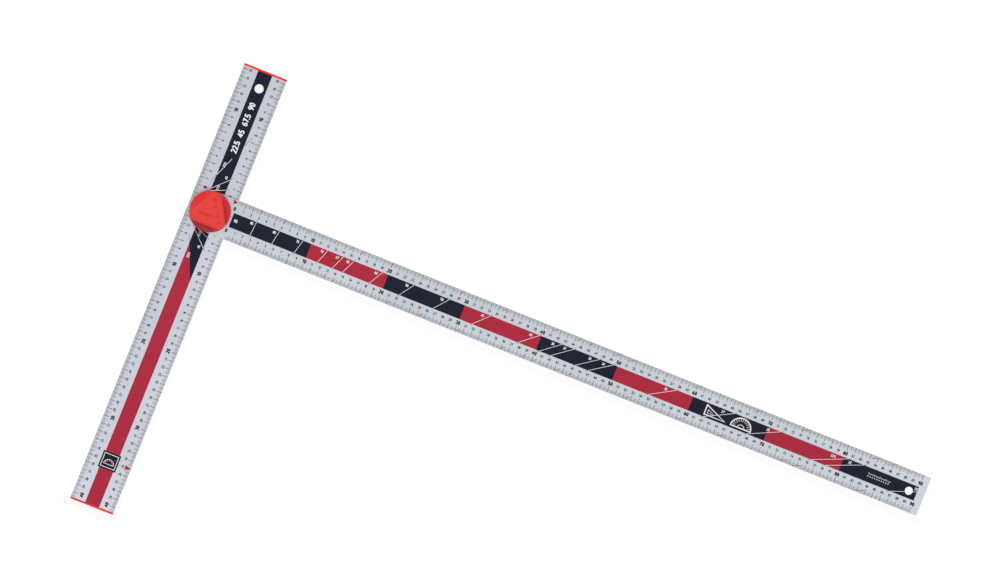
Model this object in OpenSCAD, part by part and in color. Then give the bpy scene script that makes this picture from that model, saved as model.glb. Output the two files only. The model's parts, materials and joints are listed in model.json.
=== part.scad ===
// Adjustable set square: a graduated blade that folds and clicks round on a hollow head.
// All lengths are in millimetres.
// The origin lies on the pivot axis, in the plane of the head's underside.
// +X runs along the blade to its far end, +Y along the head to its short end, +Z is up.

/* [Blade] */
// Width of the blade
blade_w = 50; // [48:1:60]
// Thickness of the blade
blade_t = 3; // [2.5:0.25:5]
// Graduated length, from the fence to the last mark
scale_len = 900; // [300:100:1200]
// Plain length past the last mark
blade_tail = 10; // [4:1:30]
// Cut across each corner of the blade's far end
blade_corner = 0.8; // [0.3:0.1:3]
// Diameter of the hanging hole in the blade
blade_hole_d = 10; // [6:0.5:14]
// From the blade's far end to the middle of its hanging hole
blade_hole_inset = 20; // [12:1:40]

/* [Head] */
// Width of the head
head_w = 55; // [52:1:70]
// Height of the head
head_h = 14; // [14:0.5:20]
// Rail length from the pivot axis to its long end
rail_long = 381.5; // [200:0.5:500]
// Rail length from the pivot axis to its short end
rail_short = 178.5; // [100:0.5:250]
// Thickness of the rail's outer walls
skin_t = 2; // [1.5:0.1:2.2]
// Thickness of the two webs inside the rail
web_t = 1.5; // [1:0.1:2.5]
// Clear width of the rail's middle channel
channel_w = 24; // [20:1:30]
// Rounding of the rail's long edges
rail_edge_r = 0.6; // [0.2:0.1:1.2]
// Diameter of the hanging hole in the head
head_hole_d = 11; // [6:0.5:14]
// From the rail's short end to the middle of its hanging hole
head_hole_inset = 20; // [20:1:60]

/* [End caps] */
// Thickness of each cap's outer plate
cap_t = 2.5; // [1.5:0.25:5]
// Length of the tongues that plug into the rail
tongue_len = 12; // [6:0.5:13]
// Side play of each tongue in its channel
tongue_gap = 0.15; // [0.05:0.05:0.3]
// Lead-in cut on the tongue tips
tongue_lead = 1; // [0.5:0.1:2]

/* [Pivot] */
// Diameter of the pivot bolt
bolt_d = 8; // [6:0.5:8]
// Width across flats of the bolt head
bolt_head_af = 13; // [12:0.5:14]
// Height of the bolt head
bolt_head_t = 5.3; // [4:0.1:5.5]
// Outer diameter of the pivot sleeve
sleeve_od = 10; // [9.5:0.1:11]
// Thickness of the sleeve's foot flange
sleeve_flange_t = 1.3; // [0.8:0.1:1.4]
// Outer diameter of the bush in the blade
bush_od = 14; // [12.5:0.5:18]
// Radial running clearance on shafts
run_gap = 0.05; // [0.02:0.01:0.09]
// Plastic left above the sleeve's flange
shelf_t = 2.9; // [2.8:0.05:3.5]
// Diameter of the friction washer under the blade
friction_d = 46; // [42:1:48]
// Thickness of the friction washer
friction_t = 0.5; // [0.3:0.1:1]
// Diameter of the thrust washer under the knob
thrust_d = 30; // [24:1:32]
// Thickness of the thrust washer
thrust_t = 1.6; // [1.4:0.1:2.5]

/* [Pivot block] */
// Length of the moulded block inside the rail
block_len = 84; // [80:1:120]
// Play of the block in its channel
block_gap = 0.1; // [0.05:0.05:0.2]
// Lead-in cut on the block's ends
block_lead = 2; // [1:0.5:4]
// Distance between the block's two screws
screw_pitch = 64; // [60:1:66]
// Thread diameter of the block screws
screw_d = 4; // [3:0.5:5]
// Head diameter of the block screws
screw_head_d = 8; // [7:0.5:9]
// Length of the block screws
screw_len = 9; // [6:0.5:9.5]
// Width across flats of the screws' hex socket
screw_socket_af = 2.5; // [2:0.1:3]
// Diameter of the plug that closes the bolt's access hole
plug_d = 16.4; // [16.2:0.2:20]
// Width of the slot in the plug
plug_slot_w = 1.6; // [1:0.2:3]

/* [Click stops] */
// Angle between neighbouring click stops
click_step = 22.5; // [15, 22.5, 30, 45, 90]
// Diameter of the two click balls
ball_d = 5; // [4:0.25:5.5]
// Radius of the ring that the balls lie on
click_ring_r = 17; // [16:0.5:19]
// Rise of a ball from flush into a pocket
click_rise = 0.6; // [0.3:0.05:0.8]
// Wire diameter of the click springs
wire_d = 0.5; // [0.3:0.05:0.6]
// Turns of each click spring
spring_turns = 5; // [4:1:5]

/* [Knob] */
// Diameter of the knob
knob_d = 50; // [46:1:60]
// Height of the knob
knob_h = 18; // [16:0.5:24]
// Thickness of the disc below the grip
knob_disc_t = 6; // [5:0.5:7]
// From the knob's axis to each flat side of its grip
knob_flat = 17.2; // [15:0.2:20]
// Width of the slope between the top face and each flat side
knob_slope = 3; // [1:0.2:4]
// Radius of the hollow at the foot of each flat side
scoop_r = 7; // [4:0.5:9]
// Radius of the upright grooves on the grip's corners
groove_r = 0.6; // [0.3:0.1:0.8]
// Grooves on each corner
groove_count = 6; // [3:1:7]
// Bevel round the knob's top
knob_bevel = 1.2; // [0.5:0.1:2]
// Gap between the knob's rim and the blade
knob_gap = 0.4; // [0.3:0.1:1]
// Width across flats of the brass insert
insert_af = 15; // [14:0.5:16]
// Height of the brass insert above the thrust washer
insert_h = 12; // [8:0.5:12]

/* [Hidden] */

// Fineness of round shapes
round_fn = 96;
small_fn = 48;
arc_steps = 12;
// Overrun that every cut runs past its face
overrun = 1;
// Clearance round a screw, a hole for a ball and a loose washer
loose_gap = 0.1;
ball_pocket_gap = 0.3;
// Gap left under the blade by a ball that is pressed down
pressed_gap = 0.05;

// Colours
silver = "#d3d7da";
red = "#e64a40";
black = "#2b2e36";
steel = "#a9adb3";
brass = "#c9a54e";
nylon = "#ebe8df";

// Levels, from the head's underside upwards
ceiling_z = head_h - skin_t;
flange_z1 = ceiling_z - block_gap - shelf_t;
flange_z0 = flange_z1 - sleeve_flange_t;
bolt_head_z0 = flange_z0 - bolt_head_t;
blade_z0 = head_h + friction_t;
blade_z1 = blade_z0 + blade_t;
thrust_z1 = blade_z1 + thrust_t;
knob_z0 = blade_z1 + knob_gap;
knob_z1 = knob_z0 + knob_h;

// Places along the blade
fence_x = head_w / 2;
blade_end_x = fence_x + scale_len + blade_tail;
blade_hole_x = blade_end_x - blade_hole_inset;

// Places along the head
rail_len = rail_long + rail_short;
head_hole_y = rail_short - head_hole_inset;
side_channel_x0 = channel_w / 2 + web_t;
side_channel_w = head_w / 2 - skin_t - side_channel_x0;
channel_h = head_h - 2 * skin_t;

// Sleeve and bush
sleeve_r = sleeve_od / 2;
bush_inner_r = sleeve_r + run_gap;
sleeve_top_gap = 0.3;
bush_top_gap = 0.1;

// Hexagons are set by their width across flats, with the corners this much further out
hex_corner_share = 1 / cos(30);
hex_pocket_gap = 0.1;

// Click stops
ball_r = ball_d / 2;
ball_bore_r = ball_r + loose_gap;
ball_z = blade_z0 - pressed_gap - ball_r;
ball_raised_z = ball_z + click_rise;
ball_mouth_r = sqrt(ball_r * ball_r - pow(head_h - ball_raised_z, 2)) + loose_gap;
wire_r = wire_d / 2;
coil_r = ball_bore_r - wire_r - loose_gap;
spring_bore_z0 = skin_t + block_gap + wire_d;
spring_z0 = spring_bore_z0 + wire_r + pressed_gap;
spring_seat_r = ball_r + wire_r + loose_gap;
spring_z1 = ball_z - sqrt(spring_seat_r * spring_seat_r - coil_r * coil_r);
rings_per_turn = 8;
wire_sides = 6;

// Thrust washer and the insert that it is captive on
neck_wall = 1.8;
neck_r = bolt_d / 2 + run_gap + neck_wall;
lip_reach = 0.7;
lip_t = 0.5;
lip_gap = 0.2;
counterbore_t = lip_gap + lip_t + lip_gap;
counterbore_r = neck_r + lip_reach + lip_gap;
bolt_top_gap = 1;

// Knob
knob_r = knob_d / 2;
corner_half_angle = 60 - acos(knob_flat / knob_r);
rim_bevel = 0.6;
slope_drop = knob_bevel + rim_bevel;
thrust_recess_gap = 1;
thrust_recess_r = thrust_d / 2 + thrust_recess_gap;
rim_wall = 2;
core_wall = 2;
core_h = 3;

// Depths of the screws' cuts and of the plug
screw_countersink_t = 2.2;
screw_sink = 0.1;
screw_socket_t = 1.2;
plug_sink = 0.15;
plug_gap = 0.05;
plug_slot_t = 0.8;

// A rectangle round the middle of its lower edge, with its corners rounded
module rounded_section(w, h, r) {
    translate([-w / 2 + r, 0]) square([w - 2 * r, h]);
    translate([-w / 2, r]) square([w, h - 2 * r]);
    for (x = [-w / 2 + r, w / 2 - r], y = [r, h - r])
        translate([x, y]) circle(r = r, $fn = small_fn);
}

// A drawing in the XZ plane carried along Y, from y0 for a length
module along_y(y0, length) {
    translate([0, y0 + length, 0]) rotate([90, 0, 0]) linear_extrude(length) children();
}

// The openings of the three channels, each taken in by a gap all round
module channel_openings(gap) {
    translate([-channel_w / 2 + gap, skin_t + gap])
        square([channel_w - 2 * gap, channel_h - 2 * gap]);
    for (side = [0, 1]) mirror([side, 0])
        translate([side_channel_x0 + gap, skin_t + gap])
            square([side_channel_w - 2 * gap, channel_h - 2 * gap]);
}

// A hexagonal prism on the Z axis
module hex_prism(af, h) {
    rotate([0, 0, 30]) cylinder(r = af / 2 * hex_corner_share, h = h, $fn = 6);
}

// The two places of the balls and of the screws, on the head's middle line
module both_ends(distance) {
    for (side = [-1, 1]) translate([0, side * distance, 0]) children();
}

// Hollow extruded head that slides along the board's edge
module head_rail() {
    color(silver) difference() {
        along_y(-rail_long, rail_len) difference() {
            rounded_section(head_w, head_h, rail_edge_r);
            channel_openings(0);
        }
        translate([0, 0, ceiling_z - overrun])
            cylinder(r = sleeve_r + loose_gap, h = skin_t + 2 * overrun, $fn = round_fn);
        both_ends(click_ring_r) translate([0, 0, ceiling_z - overrun])
            cylinder(r = ball_bore_r, h = skin_t + 2 * overrun, $fn = small_fn);
        translate([0, 0, -overrun])
            cylinder(r = plug_d / 2, h = skin_t + 2 * overrun, $fn = round_fn);
        both_ends(screw_pitch / 2) screw_hole();
        translate([0, head_hole_y, -overrun])
            cylinder(r = head_hole_d / 2, h = head_h + 2 * overrun, $fn = round_fn);
    }
}

// Clearance for one countersunk screw, from the underside upwards
module screw_hole() {
    translate([0, 0, -overrun])
        cylinder(r = screw_d / 2 + loose_gap, h = skin_t + 2 * overrun, $fn = small_fn);
    translate([0, 0, -overrun])
        cylinder(r = screw_head_d / 2 + loose_gap, h = overrun + screw_sink, $fn = small_fn);
    translate([0, 0, screw_sink])
        cylinder(r1 = screw_head_d / 2 + loose_gap, r2 = screw_d / 2 + loose_gap,
                 h = screw_countersink_t - loose_gap, $fn = small_fn);
}

// Red cap: an outer plate with three tongues that plug the rail's channels
module end_cap() {
    color(red) {
        along_y(0, cap_t) rounded_section(head_w, head_h, rail_edge_r);
        along_y(-tongue_len + tongue_lead, tongue_len - tongue_lead) channel_openings(tongue_gap);
        along_y(-tongue_len, tongue_lead) channel_openings(tongue_gap + tongue_lead / 2);
    }
}

module end_cap_top() {
    translate([0, rail_short, 0]) end_cap();
}

module end_cap_bottom() {
    translate([0, -rail_long, 0]) mirror([0, 1, 0]) end_cap();
}

// Moulded block in the middle channel that carries the bolt, the sleeve and the click balls
module pivot_block() {
    block_w = channel_w - 2 * block_gap;
    block_z0 = skin_t + block_gap;
    block_z1 = ceiling_z - block_gap;
    half = block_len / 2;
    color(black) difference() {
        translate([0, 0, block_z0]) linear_extrude(block_z1 - block_z0) polygon([
            [-block_w / 2 + block_lead, -half], [block_w / 2 - block_lead, -half],
            [block_w / 2, -half + block_lead], [block_w / 2, half - block_lead],
            [block_w / 2 - block_lead, half], [-block_w / 2 + block_lead, half],
            [-block_w / 2, half - block_lead], [-block_w / 2, -half + block_lead]
        ]);
        translate([0, 0, block_z0 - overrun])
            hex_prism(bolt_head_af + 2 * hex_pocket_gap, flange_z1 - block_z0 + overrun);
        translate([0, 0, flange_z1 - overrun])
            cylinder(r = sleeve_r + run_gap, h = shelf_t + 2 * overrun, $fn = round_fn);
        both_ends(click_ring_r) translate([0, 0, spring_bore_z0])
            cylinder(r = ball_bore_r, h = block_z1 - spring_bore_z0 + overrun, $fn = small_fn);
        both_ends(screw_pitch / 2) translate([0, 0, block_z0 - overrun])
            cylinder(r = screw_d / 2 + run_gap, h = screw_len + overrun, $fn = small_fn);
    }
}

// Two countersunk screws that hold the block in the rail
module block_screws() {
    color(steel) both_ends(screw_pitch / 2) difference() {
        union() {
            translate([0, 0, screw_sink])
                cylinder(r1 = screw_head_d / 2, r2 = screw_d / 2, h = screw_countersink_t,
                         $fn = small_fn);
            translate([0, 0, screw_sink + screw_countersink_t])
                cylinder(r = screw_d / 2, h = screw_len - screw_countersink_t, $fn = small_fn);
        }
        hex_prism(screw_socket_af, screw_sink + screw_socket_t);
    }
}

// Disc that closes the hole through which the bolt goes in
module access_plug() {
    plug_t = min(skin_t, bolt_head_z0 - pressed_gap) - plug_sink;
    color(black) translate([0, 0, plug_sink]) difference() {
        cylinder(r = plug_d / 2 - plug_gap, h = plug_t, $fn = round_fn);
        translate([-plug_d / 4, -plug_slot_w / 2, -overrun])
            cube([plug_d / 2, plug_slot_w, overrun + plug_slot_t]);
    }
}

// Hexagon bolt on the pivot axis, held against turning by its pocket in the block
module pivot_bolt() {
    bolt_top_z = thrust_z1 + insert_h - bolt_top_gap;
    color(steel) {
        translate([0, 0, bolt_head_z0]) hex_prism(bolt_head_af, bolt_head_t);
        translate([0, 0, bolt_head_z0])
            cylinder(r = bolt_d / 2, h = bolt_top_z - bolt_head_z0, $fn = round_fn);
    }
}

// Steel sleeve that the blade turns on, with a foot flange under the block's shelf
module pivot_sleeve() {
    sleeve_z1 = blade_z1 - sleeve_top_gap;
    color(steel) difference() {
        union() {
            translate([0, 0, flange_z0])
                cylinder(r = bolt_head_af / 2, h = sleeve_flange_t, $fn = round_fn);
            translate([0, 0, flange_z0])
                cylinder(r = sleeve_r, h = sleeve_z1 - flange_z0, $fn = round_fn);
        }
        translate([0, 0, flange_z0 - overrun])
            cylinder(r = bolt_d / 2 + run_gap, h = sleeve_z1 - flange_z0 + 2 * overrun,
                     $fn = round_fn);
    }
}

// Thin washer that the blade slides on, with a hole for each ball
module friction_washer() {
    color(nylon) translate([0, 0, head_h]) difference() {
        cylinder(r = friction_d / 2, h = friction_t, $fn = round_fn);
        translate([0, 0, -overrun])
            cylinder(r = sleeve_r + loose_gap, h = friction_t + 2 * overrun, $fn = round_fn);
        both_ends(click_ring_r) translate([0, 0, -overrun])
            cylinder(r = ball_mouth_r, h = friction_t + 2 * overrun, $fn = small_fn);
    }
}

// Centre of the spring's wire after a number of turns
function coil_point(turns) = [
    coil_r * cos(360 * turns), coil_r * sin(360 * turns),
    spring_z0 + (spring_z1 - spring_z0) * turns / spring_turns
];

// One ring of points round the wire
function coil_ring(turns) = let (
        out = [cos(360 * turns), sin(360 * turns), 0],
        rise = (spring_z1 - spring_z0) / spring_turns / (2 * PI * coil_r),
        ahead = [-sin(360 * turns), cos(360 * turns), rise] / sqrt(1 + rise * rise),
        up = cross(out, ahead)
    )
    [for (k = [0 : wire_sides - 1])
        coil_point(turns) + wire_r * (cos(360 * k / wire_sides) * out
                                    + sin(360 * k / wire_sides) * up)];

// Least gap between the wire's neighbouring turns, measured on the coil's points
coil_places = [for (k = [0 : spring_turns * rings_per_turn]) coil_point(k / rings_per_turn)];
coil_least_gap = min([for (i = [0 : len(coil_places) - 1],
                           j = [i + rings_per_turn / 2 : len(coil_places) - 1])
                      norm(coil_places[i] - coil_places[j])]) - wire_d;
echo(least_gap_of_the_click_springs = coil_least_gap);

// Compression spring under a click ball, at the height of a pressed ball
module detent_spring() {
    rings = spring_turns * rings_per_turn;
    points = [for (k = [0 : rings]) each coil_ring(k / rings_per_turn)];
    sides = [for (k = [0 : rings - 1], s = [0 : wire_sides - 1])
        let (
            a = k * wire_sides + s,
            b = k * wire_sides + (s + 1) % wire_sides,
            c = a + wire_sides,
            d = b + wire_sides
        ) each [[a, b, d], [a, d, c]]];
    near_end = [for (s = [1 : wire_sides - 2]) [0, s + 1, s]];
    last = rings * wire_sides;
    far_end = [for (s = [1 : wire_sides - 2]) [last, last + s, last + s + 1]];
    color(steel) polyhedron(points, concat(sides, near_end, far_end));
}

module detent_spring_a() {
    translate([0, click_ring_r, 0]) detent_spring();
}

module detent_spring_b() {
    translate([0, -click_ring_r, 0]) detent_spring();
}

// Steel ball, drawn pressed down flush so that the blade can pass over it
module detent_ball() {
    color(steel) translate([0, 0, ball_z]) sphere(r = ball_r, $fn = small_fn);
}

module detent_ball_a() {
    translate([0, click_ring_r, 0]) detent_ball();
}

module detent_ball_b() {
    translate([0, -click_ring_r, 0]) detent_ball();
}

// Graduated blade with a round end on the pivot and a ring of click pockets underneath
module blade_rule() {
    color(silver) difference() {
        translate([0, 0, blade_z0]) linear_extrude(blade_t) {
            circle(r = blade_w / 2, $fn = round_fn);
            polygon([
                [0, -blade_w / 2], [blade_end_x - blade_corner, -blade_w / 2],
                [blade_end_x, -blade_w / 2 + blade_corner],
                [blade_end_x, blade_w / 2 - blade_corner],
                [blade_end_x - blade_corner, blade_w / 2], [0, blade_w / 2]
            ]);
        }
        translate([0, 0, blade_z0 - overrun])
            cylinder(r = bush_od / 2, h = blade_t + 2 * overrun, $fn = round_fn);
        translate([blade_hole_x, 0, blade_z0 - overrun])
            cylinder(r = blade_hole_d / 2, h = blade_t + 2 * overrun, $fn = round_fn);
        for (angle = [0 : click_step : 360 - click_step])
            rotate([0, 0, angle]) translate([click_ring_r, 0, ball_raised_z])
                sphere(r = ball_r + ball_pocket_gap, $fn = small_fn);
    }
}

// Plain bearing bush pressed into the blade
module blade_bush() {
    bush_t = blade_t - bush_top_gap;
    color(nylon) translate([0, 0, blade_z0]) difference() {
        cylinder(r = bush_od / 2, h = bush_t, $fn = round_fn);
        translate([0, 0, -overrun])
            cylinder(r = bush_inner_r, h = bush_t + 2 * overrun, $fn = round_fn);
    }
}

// Steel washer that clamps the blade; it rises with the knob but doesn't turn with it
module thrust_washer() {
    color(steel) translate([0, 0, blade_z1]) difference() {
        cylinder(r = thrust_d / 2, h = thrust_t, $fn = round_fn);
        translate([0, 0, -overrun])
            cylinder(r = neck_r + run_gap, h = thrust_t + 2 * overrun, $fn = round_fn);
        translate([0, 0, -overrun])
            cylinder(r = counterbore_r, h = counterbore_t + overrun, $fn = round_fn);
    }
}

// Brass nut moulded into the knob, with a neck and a lip that keep the washer on it
module knob_insert() {
    lip_z0 = blade_z1 + lip_gap;
    color(brass) difference() {
        union() {
            translate([0, 0, thrust_z1]) hex_prism(insert_af, insert_h);
            translate([0, 0, lip_z0])
                cylinder(r = neck_r, h = thrust_z1 - lip_z0 + overrun, $fn = round_fn);
            translate([0, 0, lip_z0])
                cylinder(r = neck_r + lip_reach, h = lip_t, $fn = round_fn);
        }
        translate([0, 0, lip_z0 - overrun])
            cylinder(r = bolt_d / 2 + run_gap,
                     h = thrust_z1 - lip_z0 + insert_h + 2 * overrun, $fn = round_fn);
    }
}

// Points on an arc round a centre, from one angle to another
function arc_points(centre, r, from_angle, to_angle) = [
    for (k = [0 : arc_steps])
        let (angle = from_angle + (to_angle - from_angle) * k / arc_steps)
        centre + r * [cos(angle), sin(angle)]
];

// What is cut away at a flat side: x is the distance from the axis, y the height in the knob
module scoop_section() {
    reach = 2 * knob_r;
    slope_start = knob_flat - knob_slope * (1 + overrun / slope_drop);
    polygon(concat(
        [[slope_start, knob_h + overrun], [knob_flat, knob_h - slope_drop]],
        arc_points([knob_flat + scoop_r, knob_disc_t + scoop_r], scoop_r, 180, 270),
        [[reach, knob_disc_t], [reach, knob_h + overrun]]
    ));
}

// Red knob: a disc under a three-cornered grip with a concave scoop at each flat side
module knob_body() {
    core_inner_r = thrust_recess_r + core_wall;
    core_outer_r = knob_r - rim_wall;
    groove_step = 2 * corner_half_angle / (groove_count + 1);
    color(red) difference() {
        rotate_extrude($fn = round_fn) polygon([
            [0, knob_z0], [knob_r - rim_bevel, knob_z0], [knob_r, knob_z0 + rim_bevel],
            [knob_r, knob_z1 - knob_bevel], [knob_r - knob_bevel, knob_z1], [0, knob_z1]
        ]);
        for (side = [30, 150, 270])
            rotate([0, 0, side]) translate([0, 0, knob_z0])
                along_y(-knob_r - overrun, 2 * (knob_r + overrun)) scoop_section();
        for (corner = [90, 210, 330], k = [0 : groove_count - 1])
            rotate([0, 0, corner + (k - (groove_count - 1) / 2) * groove_step])
                translate([knob_r, 0, knob_z0 + knob_disc_t])
                    cylinder(r = groove_r, h = knob_h - knob_disc_t + overrun, $fn = small_fn);
        translate([0, 0, knob_z0 - overrun])
            cylinder(r = thrust_recess_r, h = thrust_z1 - knob_z0 + overrun, $fn = round_fn);
        translate([0, 0, thrust_z1 - overrun]) hex_prism(insert_af, insert_h + overrun);
        rotate_extrude($fn = round_fn) translate([core_inner_r, knob_z0 - overrun])
            square([core_outer_r - core_inner_r, core_h + overrun]);
    }
}

head_rail();
end_cap_top();
end_cap_bottom();
pivot_block();
block_screws();
access_plug();
pivot_bolt();
pivot_sleeve();
friction_washer();
detent_spring_a();
detent_spring_b();
detent_ball_a();
detent_ball_b();
blade_rule();
blade_bush();
thrust_washer();
knob_insert();
knob_body();
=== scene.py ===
"""Looks of a folding set square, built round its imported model.

Places are in millimetres and become metres where a mesh is made. The origin lies on the pivot
axis in the plane of the head's underside, with +X along the blade, +Y towards the head's short
end and +Z up through the knob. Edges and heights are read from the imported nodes' boxes.
"""

import json
import math

import bmesh
import bpy
import numpy as np
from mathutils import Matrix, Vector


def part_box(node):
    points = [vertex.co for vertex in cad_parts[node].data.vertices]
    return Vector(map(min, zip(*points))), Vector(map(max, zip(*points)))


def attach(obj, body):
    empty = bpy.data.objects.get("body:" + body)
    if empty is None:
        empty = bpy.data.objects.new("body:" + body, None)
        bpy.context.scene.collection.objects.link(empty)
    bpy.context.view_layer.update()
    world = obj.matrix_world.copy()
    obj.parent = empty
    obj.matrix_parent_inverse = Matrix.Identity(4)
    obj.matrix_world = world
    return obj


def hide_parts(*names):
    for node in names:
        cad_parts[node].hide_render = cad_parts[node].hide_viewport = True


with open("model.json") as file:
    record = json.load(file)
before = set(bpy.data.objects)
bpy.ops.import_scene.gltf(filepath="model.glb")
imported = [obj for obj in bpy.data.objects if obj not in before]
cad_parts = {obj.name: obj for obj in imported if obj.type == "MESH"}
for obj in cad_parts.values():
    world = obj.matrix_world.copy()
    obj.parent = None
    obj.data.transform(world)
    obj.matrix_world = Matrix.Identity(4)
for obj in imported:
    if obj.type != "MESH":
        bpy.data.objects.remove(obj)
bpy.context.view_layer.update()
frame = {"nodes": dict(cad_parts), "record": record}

MM = 0.001


def node_box(node):
    """A node's lowest and highest corner, in millimetres."""
    low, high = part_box(node)
    return np.array(low) / MM, np.array(high) / MM


rail_low, rail_high = node_box("head_rail")
blade_high = node_box("blade_rule")[1]
knob_low, knob_high = node_box("knob_body")
washer_high = node_box("thrust_washer")[1]
insert_low, insert_high = node_box("knob_insert")

# Camera, fitted to the printed marks, the edges and the knob in the photograph
PHOTO_WIDTH_PX = 992
FOCAL_PX = 4000
SENSOR_WIDTH_MM = 36
CAMERA_PLACE = (-0.0878, 0.2193, 4.8295)
CAMERA_TURN_DEG = (-3.8359, -4.0818, 22.0761)
CAMERA_NEAR, CAMERA_FAR = 0.05, 50

# The blade's printed scale, measured from the fence
SCALE_LENGTH = 900
BAND_STEP = 100
FENCE_X = rail_high[0]
BLADE_HALF = blade_high[1]
BLADE_TOP = blade_high[2]
BLADE_HOLE = (FENCE_X + 890, 0)
BLADE_HOLE_R = 5
ZERO_PLACE = (FENCE_X - 0.9, 13.8)
BLADE_POINTER = [(FENCE_X - 5.9, 24.3), (FENCE_X - 4.9, 18.4),
                 (FENCE_X - 0.2, 21.9), (FENCE_X - 0.2, 22.3)]

# The head's printed scale, measured from the blade's upper edge
HEAD_HALF = rail_high[0]
HEAD_TOP = rail_high[2]
HEAD_HOLE = (0, rail_high[1] - 20)
HEAD_HOLE_R = 5.5
PRINT_CLEAR_R = 24.5

# Steps of the long ticks, the figures and the bold figures
HALF_STEP = 5
FIGURE_STEP = 10
BOLD_STEP = 100

# Ticks of one, five and ten millimetres
TICK_WIDTHS = (0.19, 0.38, 0.54)
TICK_LENGTHS = (4.3, 5.8, 7.2)
TICK_INSET = 0.25

# Figures, and how far plain and bold ones stand from the edge; a pen is a share of the height
FIGURE_HEIGHT = 3.3
BOLD_HEIGHT = 4.4
FIGURE_PEN = 0.20
BOLD_PEN = 0.28
BLADE_FIGURE_INSETS = (11.1, 11.3)
HEAD_FIGURE_INSETS = (10.2, 11.5)

# Bands and lines
BAND_HALF = 9
WHITE_LINE = 0.55
RED_LINE = 0.55
HOLE_CLEAR = 0.03
LINE_CLEAR = 0.4

# Thickness of the inks. Strokes that cross in one ink are stacked by steps of a share of it, and
# the signs' strokes start a few steps up, over the lines
INK_SINK = 0.01
BAND_INK = 0.02
PANEL_INK = 0.03
LINE_INK = 0.045
OVER_INK = 0.058
STACK_STEP = 0.15
OVER_LINES = 3

# The angle lines meet at this distance below the head's zero
ANGLE_RADIUS = 325
ANGLES = (85, 80, 75, 70, 67, 65, 60, 55, 50, 45, 40, 38, 37, 35, 34, 30, 27, 25, 22.5, 22, 20)

# The angle lines go on in red between these heights, and below the blade's middle as well
RED_STRETCHES = ((BAND_HALF, 10.4), (19.4, BLADE_HALF - TICK_INSET))

# The number beside an angle line: its middle's height, and its gap to the line's foot
LABEL_Y = 5.4
LABEL_FOOT_Y = 3.7
LABEL_GAP = 2.2
LABEL_HALF_PER_FIGURE = 1.7
LABEL_END_GAP = 2.4
SQUARE_LABEL_PLACE = (FENCE_X + 5.5, 0.5)
SQUARE_LABEL_HEIGHT = FIGURE_HEIGHT + 0.6


# Meshes from arrays


def joined(parts):
    """One vertex array and one face array from several pairs of them."""
    starts = np.cumsum([0] + [len(vertices) for vertices, _ in parts[:-1]])
    vertices = np.concatenate([vertices for vertices, _ in parts])
    faces = np.concatenate([faces + start for (_, faces), start in zip(parts, starts)])
    return vertices, faces


def add_piece(name, vertices, faces, body, finish, smooth_deg=None):
    """A mesh piece from vertices in millimetres; it rides on a body and wears one finish."""
    mesh = bpy.data.meshes.new(name)
    mesh.from_pydata((np.asarray(vertices) * MM).tolist(), [], [list(face) for face in faces])
    mesh.update()
    if smooth_deg is not None:
        mesh.polygons.foreach_set("use_smooth", [True] * len(mesh.polygons))
        mesh.set_sharp_from_angle(angle=math.radians(smooth_deg))
    mesh.materials.append(finish)
    piece = bpy.data.objects.new(name, mesh)
    bpy.context.scene.collection.objects.link(piece)
    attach(piece, body)
    return piece


def strip(right, left, closed=False):
    """A closed band between two rows of plan points: each pair of points carries a rectangle
    that stands from level 0 to level 1, and neighbouring rectangles are joined."""
    count = len(right)
    plan = np.stack([right, left, left, right], 1)
    level = np.broadcast_to(np.array([0, 0, 1, 1.0])[None, :, None], (count, 4, 1))
    vertices = np.concatenate([plan, level], 2).reshape(-1, 3)
    here = np.arange(count if closed else count - 1)[:, None] * 4
    there = (here + 4) % (4 * count)
    side = np.arange(4)[None, :]
    after = (side + 1) % 4
    faces = np.stack([here + side, here + after, there + after, there + side], -1).reshape(-1, 4)
    if not closed:
        ends = np.array([[0, 3, 2, 1], np.arange(4) + 4 * (count - 1)])
        faces = np.concatenate([faces, ends])
    return vertices, faces


def unit(vectors):
    """The vectors at length 1."""
    return vectors / np.linalg.norm(vectors, axis=-1, keepdims=True)


# A sharp corner reaches out by half the stroke's width over this limit, and no further
MITRE_LIMIT = 0.5


def pen_stroke(path, width, closed=False):
    """A band of a width along a path, with its corners mitred: each point moves half the width
    sideways along the mean of its two neighbouring directions' normals."""
    path = np.asarray(path, float)
    if closed:
        before = unit(path - np.roll(path, 1, 0))
        after = unit(np.roll(path, -1, 0) - path)
    else:
        steps = unit(np.diff(path, axis=0))
        before = np.concatenate([steps[:1], steps])
        after = np.concatenate([steps, steps[-1:]])
    ahead = unit(before + after)
    mitre = 1 / np.maximum((ahead * before).sum(1, keepdims=True), MITRE_LIMIT)
    aside = np.stack([-ahead[:, 1], ahead[:, 0]], 1) * mitre * width / 2
    return strip(path - aside, path + aside, closed)


def slabs(corners):
    """Closed slabs from level 0 to level 1, one for each row of four plan corners, which run
    counterclockwise."""
    corners = np.asarray(corners, float).reshape(-1, 4, 2)
    count = len(corners)
    low = np.concatenate([corners, np.zeros((count, 4, 1))], 2)
    high = np.concatenate([corners, np.ones((count, 4, 1))], 2)
    vertices = np.concatenate([low, high], 1).reshape(-1, 3)
    sides = [[0, 3, 2, 1], [4, 5, 6, 7], [0, 1, 5, 4], [1, 2, 6, 5], [2, 3, 7, 6], [3, 0, 4, 7]]
    faces = (np.arange(count)[:, None, None] * 8 + np.array(sides)).reshape(-1, 4)
    return vertices, faces


def bars(starts, ends, width):
    """Straight bars between pairs of plan points, as slabs, with one width or a width for each."""
    starts, ends = np.atleast_2d(starts).astype(float), np.atleast_2d(ends).astype(float)
    ahead = unit(ends - starts)
    aside = np.stack([ahead[:, 1], -ahead[:, 0]], 1) * np.reshape(width, (-1, 1)) / 2
    return slabs(np.stack([starts + aside, ends + aside, ends - aside, starts - aside], 1))


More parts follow.
